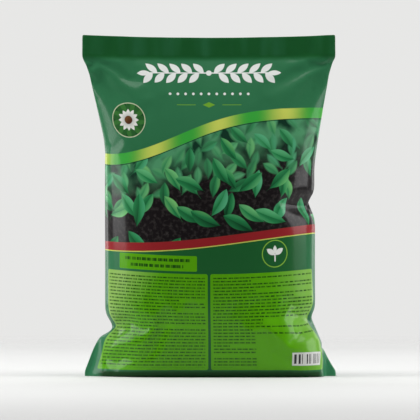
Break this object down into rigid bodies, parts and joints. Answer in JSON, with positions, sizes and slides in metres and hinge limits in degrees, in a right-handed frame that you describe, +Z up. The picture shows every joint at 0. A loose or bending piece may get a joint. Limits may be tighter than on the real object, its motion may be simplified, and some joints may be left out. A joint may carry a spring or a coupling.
{
  "type": "compost bag",
  "caption": "Filled pillow bag of printed plastic film for growing compost, standing upright, with a flat welded strip along the top and pinched corners.",
  "frame": {"origin": "on the floor, in the middle of the flat base, on the line of the base weld", "axes": "+Z up along the height of the bag, the printed front panel faces -Y, +X to the right of someone who looks at the front"},
  "size_m": [0.4338, 0.1654, 0.577],
  "materials": {
    "printed_film": "semi-gloss printed polyethylene film, mostly dark green"
  },
  "bodies": {
    "root": {"compost_bag": "printed_film"}
  },
  "joints": []
}
